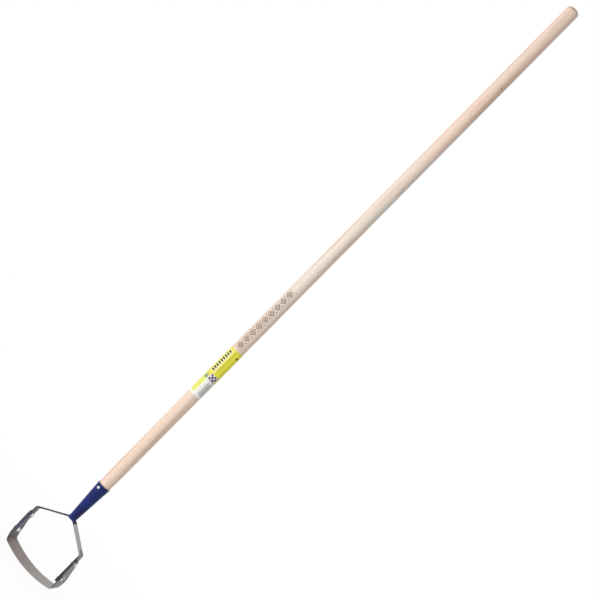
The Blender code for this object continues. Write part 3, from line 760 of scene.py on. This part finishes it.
def strap_steel():
    """Bare rolled strap: lengthwise mill lines, black edges, tinted arms and an enamelled seat, with
    painted shade and painted light.
    """
    material, place = new_material("strap_steel")
    x, y, z = place.parts()
    normal = place.node("TexCoord", output="Normal")
    out_x, out_y = normal.parts()[:2]
    band = place.node("UVMap", {"uv_map": "band"})
    mill = band.stretched(45, 2600, 1).noise(3)
    mottle = place.stretched(150, 150, 150).noise(4)
    speck = place.stretched(900, 900, 900).noise(4)
    arm = 1 - z.above(ARM_SHADE_Z, 0.012)
    bend_shade = abs(x).above(BEND_SHADE_X, 0.006) * z.above(ARM_SHADE_Z, 0.008)
    edge = abs(out_y).above(0.62, 0.35)
    inside = 1 - (x.math("SIGN", x) * out_x).above(-0.6, 0.3)
    ragged = (mottle - 0.5) * 0.004
    paint = 1 - (abs(x) + ragged).above(SEAT_PAINT_HALF, 0.0008)
    root_shadow = (abs(x) + ragged).near(ROOT_SHADOW_X, ROOT_SHADOW_HALF, 0.0018)
    color = (mill * 0.55 + mottle * 0.45).above(0.5, 0.26).between(STRAP_LIGHT, STRAP_GREY)
    # Painted shade at the shoulder bends.
    color = (bend_shade * (0.65 + mottle * 0.5)).between(color, STRAP_BEND_SHADE)
    # Painted shade: the arms are darker than the shoulders.
    color = (arm * 0.9).between(color, STRAP_ARM_SHADE)
    # Painted shade on the arms' inner faces.
    color = (arm * inside * 0.8).between(color, STRAP_INSIDE_SHADE)
    tinted = z.near((PIVOT_Z + STOP_Z) / 2, TINT_HALF, 0.012) * (1 - y.above(TINT_TO_Y, 0.006))
    color = (tinted * inside * (0.7 + mottle * 0.3)).between(color, STRAP_TINT)
    # The strap's edges: black mill scale, partly painted shade, blackest along the right arm and tinted
    # along the left. On the right shoulder they keep the face's grey, a painted light.
    edge_scale_shade = arm.between(EDGE_SCALE_SHADE, (1 - x.above(0, 0.02)).between(SCALE_AND_SHADE_BLACK, EDGE_SCALE_SHADE_TINT))
    edge_scale_shade_light = (x.above(LIT_EDGE_FROM, 0.004) * (1 - arm)).between(edge_scale_shade, STRAP_GREY)
    color = (edge * 0.95).between(color, edge_scale_shade_light)
    color = (speck.above(0.70, 0.08) * 0.5).between(color, SCALE_AND_SHADE_BLACK)
    # Painted shadow on the strap's roots, either side of the seat.
    color = (root_shadow * 0.95).between(color, SCALE_AND_SHADE_BLACK)
    color = paint.between(color, enamel_color(place))
    roughness = 0.34 + mill * 0.16 + edge * 0.15 + speck * 0.06 + root_shadow * 0.2 - paint * 0.16
    height = (mill * 0.5 + mottle * 0.5 + speck * 0.3) * (1 - paint * 0.8) + paint * 1.2
    others = {"Metallic": 1 - paint, "Specular IOR Level": 0.28}
    shade(place, color, roughness, height, 0.00005, others)
    return material


def yoke_strap():
    """The bent strap, from the right arm's end over the seat to the left arm's end."""
    mid_x = YOKE_HALF_SPAN - YOKE_THICKNESS / 2
    top = YOKE_TOP_Z - YOKE_THICKNESS / 2
    half = [(mid_x, yoke_low.z), (mid_x, top - YOKE_SHOULDER_DROP), (YOKE_FLAT_HALF, top)]
    corners = half + [(-x, z) for x, z in reversed(half)]
    bends = [YOKE_SHOULDER_BEND, YOKE_ROOT_BEND, YOKE_ROOT_BEND, YOKE_SHOULDER_BEND]
    path = rounded_path(corners, bends, BEND_STEPS)
    section = rounded_section(YOKE_WIDTH / 2, YOKE_THICKNESS, YOKE_EDGE_ROUND)
    return strap(path, lambda point: section)


def even_shading(piece):
    """Lets a strap's flat faces lead the shading, so that its edges don't darken them."""
    modifier = piece.modifiers.new("even_shading", "WEIGHTED_NORMAL")
    modifier.keep_sharp = True


yoke = add_piece("bent_yoke", yoke_strap(), [strap_steel()], 50)
sink_slope = RIVET_SINK_RIM / RIVET_SINK_DEPTH
hole_radius = RIVET_RADIUS + FIT
sink_radius = hole_radius + RIVET_SINK_RIM + FIT * sink_slope
seat_hole = [
    (sink_radius, YOKE_UNDER_Z - YOKE_THICKNESS),
    (sink_radius, YOKE_UNDER_Z),
    (hole_radius, YOKE_UNDER_Z + FIT + RIVET_SINK_DEPTH),
    (hole_radius, YOKE_TOP_Z + YOKE_THICKNESS),
]
cut(yoke, cutter("seat_hole_tool", turned(seat_hole, TURNED_STEPS)))
pivot_drill = cross_drill("pivot_drill", BOLT_RADIUS + FIT, PIVOT_Z)
cut(yoke, pivot_drill)
cut(yoke, cross_drill("stop_drill", BOLT_RADIUS + FIT, STOP_Z))
even_shading(yoke)
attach(yoke, "tool")
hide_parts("yoke")

# Blade
# A band of spring steel, hardened and bent to a U with two tabs that are drilled for the pivots
# and slotted for the stops. Both long edges of its bottom are ground to cut both ways.
BLADE_TILT = math.radians(15)
BLADE_THICKNESS = 0.0022
BLADE_TUCK = 0.0020
BLADE_TUCK_BELOW_YOKE = 0.0024
BLADE_TUCK_BEND = 0.0160
BLADE_CORNER_BELOW_YOKE = 0.0198
BLADE_CORNER_BEND = 0.0055
BLADE_SAG = 0.0112
BLADE_HALF_WIDTH_MIDDLE = 0.0178
TAB_WALL_AT_PIVOT = 0.0064
TAB_WALL_AT_SLOT = 0.0038
TAB_FLARE_BELOW_SLOT = 0.0015
BLADE_CHAMFER = 0.0003
BEVEL_WIDTH = 0.0050
CUTTING_EDGE = 0.0006
STOP_BELOW_PIVOT = PIVOT_Z - STOP_Z
YOKE_END_BELOW_PIVOT = PIVOT_Z - yoke_low.z
BLADE_TUCK_START = math.hypot(YOKE_END_BELOW_PIVOT, YOKE_WIDTH / 2) + BLADE_TUCK_BELOW_YOKE
BLADE_DEPTH = YOKE_END_BELOW_PIVOT + BLADE_CORNER_BELOW_YOKE
TAB_TOP_RADIUS = BOLT_RADIUS + TAB_WALL_AT_PIVOT
SLOT_HALF_LENGTH = STOP_BELOW_PIVOT * math.sin(BLADE_TILT) + BOLT_RADIUS + FIT
TAB_HALF_WIDTH_AT_STOP = SLOT_HALF_LENGTH + TAB_WALL_AT_SLOT
BLADE_HALF_WIDTH_CORNER = TAB_HALF_WIDTH_AT_STOP + TAB_FLARE_BELOW_SLOT
TAB_TONE_X = YOKE_HALF_SPAN - 0.0040
TAB_TONE_Z = PIVOT_Z - BLADE_TUCK_START - 0.0130
CORNER_SHADE_X = YOKE_HALF_SPAN - 0.0060
BLADE_REST = Matrix.Translation((0, 0, PIVOT_Z)) @ Matrix.Rotation(BLADE_TILT, 4, "X")
BLADE_WARM = (0.29, 0.243, 0.226)
BLADE_GREY = (0.40, 0.378, 0.365)
# The next two colours are painted shade on the tabs, the second for the left tab.
BLADE_TAB_SHADE = (0.22, 0.22, 0.222)
BLADE_TAB_LEFT_SHADE = (0.112, 0.108, 0.13)
BLADE_SCALE_AND_SHADE = (0.07, 0.056, 0.052)
GROUND_LIGHT = (0.46, 0.455, 0.45)
GROUND_GREY = (0.29, 0.28, 0.275)


def blade_half_width(depth, x):
    """Half the band's width: round tab top, flaring tab, then the band, narrower in its middle."""
    if depth <= 0:
        return math.sqrt(max(TAB_TOP_RADIUS ** 2 - depth ** 2, 0.0))
    if depth <= STOP_BELOW_PIVOT:
        share = depth / STOP_BELOW_PIVOT
        return TAB_TOP_RADIUS + share * (TAB_HALF_WIDTH_AT_STOP - TAB_TOP_RADIUS)
    if depth <= BLADE_DEPTH:
        share = (depth - STOP_BELOW_PIVOT) / (BLADE_DEPTH - STOP_BELOW_PIVOT)
        ease = math.sin(share * math.pi / 2)
        return TAB_HALF_WIDTH_AT_STOP + ease * (BLADE_HALF_WIDTH_CORNER - TAB_HALF_WIDTH_AT_STOP)
    share = min(abs(x) / YOKE_HALF_SPAN, 1.0)
    widening = BLADE_HALF_WIDTH_CORNER - BLADE_HALF_WIDTH_MIDDLE
    return BLADE_HALF_WIDTH_MIDDLE + share ** 2 * widening


def blade_path():
    """The band's centreline from the left tab's top to the right one's, pivot at z = 0."""
    tab_x = YOKE_HALF_SPAN + FIT + BLADE_THICKNESS / 2
    corner_x = tab_x - BLADE_TUCK
    radius = (corner_x ** 2 + BLADE_SAG ** 2) / (2 * BLADE_SAG)
    slope = math.asin(corner_x / radius)
    lead = BLADE_CORNER_BEND * 4
    ahead = (corner_x - math.cos(slope) * lead, -BLADE_DEPTH - math.sin(slope) * lead)
    corners = [(tab_x, 0), (tab_x, -BLADE_TUCK_START), (corner_x, -BLADE_DEPTH), ahead]
    side = rounded_path(corners, [BLADE_TUCK_BEND, BLADE_CORNER_BEND], BEND_STEPS)[:-1]
    half = [Vector((tab_x, z)) for _, z in arc(0, 0, 0, TAB_TOP_RADIUS, 85, 0, 20)[:-1]]
    straight_steps = 12
    for i in range(straight_steps):
        half.append(Vector((tab_x, side[1].y * i / straight_steps)))
    half += side[1:]
    centre_z = radius - BLADE_DEPTH - BLADE_SAG
    start = math.asin(half[-1].x / radius)
    arc_steps = 24
    for i in range(1, arc_steps):
        a = start * (1 - i / arc_steps)
        half.append(Vector((radius * math.sin(a), centre_z - radius * math.cos(a))))
    bottom = [Vector((0, -BLADE_DEPTH - BLADE_SAG))]
    return half + bottom + [Vector((-p.x, p.y)) for p in reversed(half)]


def blade_section(point):
    """The band's outline at a point: flat inside, and outside two bevels that grow to the edges."""
    t = BLADE_THICKNESS / 2
    half = blade_half_width(-point.y, point.x)
    low = (-point.y - BLADE_TUCK_START) / (BLADE_DEPTH - BLADE_TUCK_START)
    ground = min(max(low, 0.0), 1.0)
    bevel = BLADE_CHAMFER + ground * (BEVEL_WIDTH - BLADE_CHAMFER)
    edge = BLADE_CHAMFER - t + ground * (BLADE_THICKNESS - CUTTING_EDGE - BLADE_CHAMFER)
    e = BLADE_CHAMFER
    right = arc(half - e, t - e, e, e, 90, 0, 2)
    left = [(-y, h) for y, h in reversed(right)]
    return left + right + [(half, edge), (half - bevel, -t), (bevel - half, -t), (-half, edge)]


def slot_outline():
    """The arc-shaped slot in the tabs, as (y, z) round the pivot, with half-round ends."""
    swing = math.degrees(BLADE_TILT)
    wall = BOLT_RADIUS + FIT
    end_y = STOP_BELOW_PIVOT * math.sin(BLADE_TILT)
    end_z = -STOP_BELOW_PIVOT * math.cos(BLADE_TILT)
    low = STOP_BELOW_PIVOT + wall
    high = STOP_BELOW_PIVOT - wall
    outline = arc(0, 0, low, low, -90 - swing, -90 + swing, 24)
    outline += arc(end_y, end_z, wall, wall, -90 + swing, 90 + swing, 20)[1:-1]
    outline += arc(0, 0, high, high, -90 + swing, -90 - swing, 24)
    return outline + arc(-end_y, end_z, wall, wall, 90 - swing, 270 - swing, 20)[1:-1]


def spring_steel(name, is_ground):
    """Spring steel: brown scale with rolling lines, or bare with grinding lines. Painted shade darkens
    its tabs and its left lower bend.
    """
    material, place = new_material(name)
    x, _, z = place.parts()
    band = place.node("UVMap", {"uv_map": "band"})
    rolling = band.stretched(9, 2400, 1).noise(4)
    grinding = band.stretched(2400, 160, 1).noise(3)
    cloud = place.stretched(38, 70, 38).noise(4)
    mottle = place.stretched(260, 260, 260).noise(4)
    speck = place.stretched(1100, 1100, 1100).noise(4)
    tab = z.above(TAB_TONE_Z, 0.012) * abs(x).above(TAB_TONE_X, 0.003)
    left = 1 - (x + (cloud - 0.5) * 0.05).above(0.004, 0.110)
    corner = (0 - x).above(CORNER_SHADE_X, 0.012) * (1 - tab) * 0.42
    color = left.between(BLADE_GREY, BLADE_WARM)
    # Painted shade: the upright tabs are darker, the left one darker still.
    color = (tab * 0.85).between(color, left.between(BLADE_TAB_SHADE, BLADE_TAB_LEFT_SHADE))
    color = ((rolling * 0.6 + cloud * 0.4).above(0.55, 0.30) * 0.28).between(color, BLADE_SCALE_AND_SHADE)
    color = (mottle.above(0.60, 0.20) * 0.30).between(color, BLADE_SCALE_AND_SHADE)
    # Painted shade at the blade's left lower bend.
    color = corner.between(color, BLADE_SCALE_AND_SHADE)
    color = (speck.above(0.70, 0.06) * 0.6).between(color, BLADE_SCALE_AND_SHADE)
    roughness = 0.34 + rolling * 0.16 + mottle * 0.14
    height = rolling * 0.6 + mottle * 0.5 + speck * 0.3
    if is_ground:
        color = (grinding * 0.6 + mottle * 0.4).above(0.5, 0.30).between(GROUND_LIGHT, GROUND_GREY)
        color = (tab * 0.92).between(color, BLADE_SCALE_AND_SHADE)
        roughness = 0.24 + grinding * 0.24
        height = grinding + mottle * 0.2
    shade(place, color, roughness, height, 0.00005, {"Metallic": 1.0})
    return material


def blade_band():
    """The bent band in its rest place, with its bevels and cutting edges in the second material."""
    bm = strap(blade_path(), blade_section)
    count = len(blade_section(Vector((0, 0))))
    bevel_sides = {count - 5, count - 4, count - 2, count - 1}
    for face in bm.faces:
        sides = {corner.vert.index % count for corner in face.loops}
        first = min(sides) if sides != {0, count - 1} else count - 1
        face.material_index = 1 if len(face.verts) == 4 and first in bevel_sides else 0
    bmesh.ops.transform(bm, matrix=BLADE_REST, verts=bm.verts)
    return bm


blade_materials = [spring_steel("tempered_steel", False), spring_steel("ground_steel", True)]
blade = add_piece("rocking_blade", blade_band(), blade_materials, 25)
reach = YOKE_HALF_SPAN * 2
slot = loft([[(x, y, z) for y, z in slot_outline()] for x in (-reach, reach)])
bmesh.ops.transform(slot, matrix=BLADE_REST, verts=slot.verts)
cut(blade, pivot_drill)
cut(blade, cutter("slot_tool", slot))
even_shading(blade)
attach(blade, "blade")
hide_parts("blade")

# Bolts, washers and nuts
# Four M5 bolts with low round heads outside the arms, each with a washer and a self-locking nut
# inside. The upper two are the blade's pivots. The lower two stop it, over a wide black washer.
BOLT_HEAD_RIM = 0.0014
BOLT_HEAD_HEIGHT = 0.0016
BOLT_END_PAST_NUT = 0.0004
BOLT_END_CHAMFER = 0.0005
THREAD_LENGTH = 0.0075
THREAD_PITCH = 0.0008
THREAD_DEPTH = 0.0003
THREAD_RINGS = 8
NUT_WALL = 0.0015
NUT_HEIGHT = 0.0027
NUT_CHAMFER = 0.0005
NUT_COLLAR_WALL = 0.0011
NUT_COLLAR_HEIGHT = 0.0008
WASHER_RIM = 0.0025
WASHER_THICKNESS = 0.0006
SLOT_WASHER_RIM = 0.0034
SLOT_WASHER_THICKNESS = 0.0006
WASHER_EDGE_ROUND = 0.00025
NUT_STEPS = 72
BLACKED = (0.08, 0.08, 0.085)
BLACKED_WORN = (0.17, 0.17, 0.18)


def bolt_outline(length):
    """A threaded shank from its chamfered end up, then the round head; the head stands on z = 0."""
    outline = [(BOLT_RADIUS - BOLT_END_CHAMFER * 1.6, -length)]
    outline.append((BOLT_RADIUS, -length + BOLT_END_CHAMFER))
    rings = round(THREAD_LENGTH / THREAD_PITCH * THREAD_RINGS)
    for i in range(1, rings + 1):
        outline.append((BOLT_RADIUS, -length + BOLT_END_CHAMFER + THREAD_LENGTH * i / rings))
    head_radius = BOLT_RADIUS + BOLT_HEAD_RIM
    outline += [(BOLT_RADIUS, 0), (head_radius * 0.97, 0)]
    return outline + domed_head(head_radius, BOLT_HEAD_HEIGHT, 16)


def threaded(length):
    """The helical groove of a bolt's thread."""
    low = -length + BOLT_END_CHAMFER

    def groove(radius, a, z):
        if not low <= z < low + THREAD_LENGTH:
            return radius
        turn = (z / THREAD_PITCH + a / (2 * math.pi)) % 1
        return radius - THREAD_DEPTH * abs(2 * turn - 1)
    return groove


def washer_outline(rim, low, high):
    """A stamped washer with rounded edges and a hole for the bolt."""
    e = WASHER_EDGE_ROUND
    outer = BOLT_RADIUS + rim - e
    bore = BOLT_RADIUS + FIT + e
    outline = arc(bore, low + e, e, e, 180, 270, 3) + arc(outer, low + e, e, e, 270, 360, 3)
    return outline + arc(outer, high - e, e, e, 0, 90, 3) + arc(bore, high - e, e, e, 90, 180, 3)


def nut_outline():
    """A hexagon with turned chamfers, then a round collar, seated on z = 0, with a bore."""
    flats = BOLT_RADIUS + NUT_WALL
    corner = flats / math.cos(math.pi / 6)
    collar = BOLT_RADIUS + NUT_COLLAR_WALL
    end = NUT_HEIGHT + NUT_COLLAR_HEIGHT
    bore = BOLT_RADIUS + FIT
    chamfer = [(corner - NUT_CHAMFER * (1 - i / 6), NUT_CHAMFER * i / 6) for i in range(7)]
    outline = [(bore + NUT_CHAMFER / 2, 0)] + chamfer
    outline += [(r, NUT_HEIGHT - z) for r, z in reversed(chamfer)]
    outline.append((collar, NUT_HEIGHT))
    outline += arc(collar - NUT_CHAMFER, end - NUT_CHAMFER, NUT_CHAMFER, NUT_CHAMFER, 0, 90, 6)
    outline += [(bore + NUT_CHAMFER / 4, end), (bore, end - NUT_CHAMFER / 2)]
    return outline + [(bore, NUT_CHAMFER / 2)]


def hexagonal(radius, a, z):
    """Cuts a radius down to the nut's six flats."""
    off = (a + math.pi / 6) % (math.pi / 3) - math.pi / 6
    return min(radius, (BOLT_RADIUS + NUT_WALL) / math.cos(off))


def black_steel():
    """Blackened washer steel, rubbed bright here and there."""
    material, place = new_material("black_steel")
    cloud = place.stretched(240, 240, 240).noise(4)
    rubbed = place.stretched(1300, 1300, 500).noise(4).above(0.60, 0.16)
    color = (rubbed * cloud * 0.9).between(BLACKED, BLACKED_WORN)
    roughness = 0.34 + cloud * 0.20
    shade(place, color, roughness, cloud * 0.6 - rubbed * 0.3, 0.00005, {"Metallic": 1.0})
    return material


def outward(side, x, z):
    """The place of a piece made along Z, so that its top points outwards at one arm."""
    return Matrix.Translation((side * x, 0, z)) @ Matrix.Rotation(side * math.pi / 2, 4, "Y")


bolt_zinc = zinc("bolt_zinc", (BOLT_RADIUS + BOLT_HEAD_RIM) * 0.98)
nut_zinc = zinc("nut_zinc", (BOLT_RADIUS + NUT_WALL) * 1.25)
washer_zinc = zinc("washer_zinc", (BOLT_RADIUS + WASHER_RIM) * 1.20)
washer_black = black_steel()
tab_face = YOKE_HALF_SPAN + FIT + BLADE_THICKNESS + FIT
washer_seat = YOKE_HALF_SPAN - YOKE_THICKNESS - FIT
nut_seat = washer_seat - WASHER_THICKNESS - FIT
for kind, z in (("pivot", PIVOT_Z), ("stop", STOP_Z)):
    head_seat = tab_face + (SLOT_WASHER_THICKNESS + FIT if kind == "stop" else 0)
    length = head_seat - nut_seat + NUT_HEIGHT + NUT_COLLAR_HEIGHT + BOLT_END_PAST_NUT
    for side_name, side in (("left", -1), ("right", 1)):
        place = f"{kind}_{side_name}"
        shank = turned(bolt_outline(length), TURNED_STEPS, shape=threaded(length))
        bolt = add_piece("domed_bolt_" + place, shank, [bolt_zinc])
        bolt.matrix_world = outward(side, head_seat, z)
        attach(bolt, "tool")
        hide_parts(f"{kind}_bolt_{side_name}")
        flat = washer_outline(WASHER_RIM, -WASHER_THICKNESS, 0)
        washer = add_piece("flat_washer_" + place, turned(flat, TURNED_STEPS, True), [washer_zinc])
        washer.matrix_world = outward(side, washer_seat, z)
        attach(washer, "tool")
        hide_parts(f"{kind}_washer_{side_name}")
        hexagon = turned(nut_outline(), NUT_STEPS, True, hexagonal)
        nut = add_piece("locking_nut_" + place, hexagon, [nut_zinc], 20)
        nut.matrix_world = outward(-side, -nut_seat, z)
        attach(nut, "tool")
        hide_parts(f"{kind}_nut_{side_name}")
        if kind == "stop":
            wide = washer_outline(SLOT_WASHER_RIM, 0, SLOT_WASHER_THICKNESS)
            cover = turned(wide, TURNED_STEPS, True)
            slot_washer = add_piece("wide_washer_" + side_name, cover, [washer_black])
            slot_washer.matrix_world = outward(side, tab_face, z)
            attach(slot_washer, "tool")
            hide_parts("slot_washer_" + side_name)

# Studio
# The tool stands over a pale floor in a white studio. The camera looks square at the handle from
# the front, turned a little to the side, and is rolled so that the handle runs corner to corner.
CAMERA_SIDE_TURN = 0.345
CAMERA_ROLL = math.radians(44.65)
CAMERA_DISTANCE = 3.22
CAMERA_LENS = 98.2
VIEW_CENTRE_ABOVE_YOKE = 0.6195
VIEW_CENTRE_ASIDE = 0.0169
FLOOR_GAP = 0.0020
FLOOR_RADIUS = 14.0
FLOOR_PALE = (0.80, 0.80, 0.80)
FLOOR_CLEAR_NEAR = 0.95
FLOOR_CLEAR_FROM = 0.45
ROOM_LIGHT = 0.50
KEY_POWER = 57.5
KEY_WIDTH, KEY_HEIGHT = 1.6, 2.6
KEY_ASIDE, KEY_AHEAD, KEY_UP = -2.2, 2.2, 0.3

scene = bpy.context.scene
scene.view_settings.view_transform = "Standard"
aside = Vector((math.cos(CAMERA_SIDE_TURN), math.sin(CAMERA_SIDE_TURN), 0))
toward = Vector((math.sin(CAMERA_SIDE_TURN), -math.cos(CAMERA_SIDE_TURN), 0))
upward = Vector((0, 0, 1))
centre = upward * (YOKE_TOP_Z + VIEW_CENTRE_ABOVE_YOKE) + aside * VIEW_CENTRE_ASIDE
right = upward * math.sin(CAMERA_ROLL) + aside * math.cos(CAMERA_ROLL)
up = upward * math.cos(CAMERA_ROLL) - aside * math.sin(CAMERA_ROLL)
camera = bpy.data.objects.new("camera", bpy.data.cameras.new("camera"))
camera.data.lens = CAMERA_LENS
camera.matrix_world = Matrix.Translation(centre + toward * CAMERA_DISTANCE) @ Matrix(
    (right, up, toward)).transposed().to_4x4()
scene.collection.objects.link(camera)
scene.camera = camera

key = bpy.data.objects.new("key_lamp", bpy.data.lights.new("key_lamp", "AREA"))
key.data.shape = "RECTANGLE"
key.data.size = KEY_WIDTH
key.data.size_y = KEY_HEIGHT
key.data.energy = KEY_POWER
key.location = centre + aside * KEY_ASIDE + toward * KEY_AHEAD + upward * KEY_UP
key.rotation_euler = (key.location - centre).to_track_quat("Z", "Y").to_euler()
scene.collection.objects.link(key)


def seen_directly(start):
    """1 for what the camera sees straight or in gloss or glass, 0 for what only gives light."""
    rays = start.node("LightPath").socket.node.outputs
    names = ("Is Camera Ray", "Is Glossy Ray", "Is Transmission Ray")
    straight, gloss, glass = [Signal(start.tree, rays[name]) for name in names]
    return start.math("MINIMUM", straight + gloss + glass, 1.0)


room = bpy.data.worlds.new("white_studio")
room.use_nodes = True
room.node_tree.nodes.clear()
scene.world = room
room_nodes = Signal(room.node_tree)
room_strength = seen_directly(room_nodes) * (1 - ROOM_LIGHT) + ROOM_LIGHT
room_light = room_nodes.node("Background", sockets={"Color": (1, 1, 1), "Strength": room_strength})
room_nodes.node("OutputWorld", sockets={"Surface": room_light})

floor_bm = bmesh.new()
bmesh.ops.create_circle(floor_bm, cap_ends=True, segments=96, radius=FLOOR_RADIUS)
floor_paint, floor_place = new_material("pale_floor")
floor_x, floor_y = floor_place.parts()[:2]
away = floor_x.math("SQRT", floor_x * floor_x + floor_y * floor_y)
far = away.above(FLOOR_CLEAR_FROM, FLOOR_CLEAR_FROM * 2)
clear = far * (1 - FLOOR_CLEAR_NEAR) + FLOOR_CLEAR_NEAR
rough = floor_place.stretched(40, 40, 40).noise(3) * 0.2 + 0.6
matt = floor_place.node("BsdfPrincipled", sockets={"Base Color": FLOOR_PALE, "Roughness": rough})
white = floor_place.node("Emission", sockets={"Color": (1, 1, 1), "Strength": 1.0})
bleached = {0: clear * seen_directly(floor_place), 1: matt, 2: white}
mixed = floor_place.node("MixShader", sockets=bleached)
floor_place.node("OutputMaterial", sockets={"Surface": mixed})
floor = add_piece("studio_floor", floor_bm, [floor_paint])
floor.location.z = cad_bounds[0].z - FLOOR_GAP
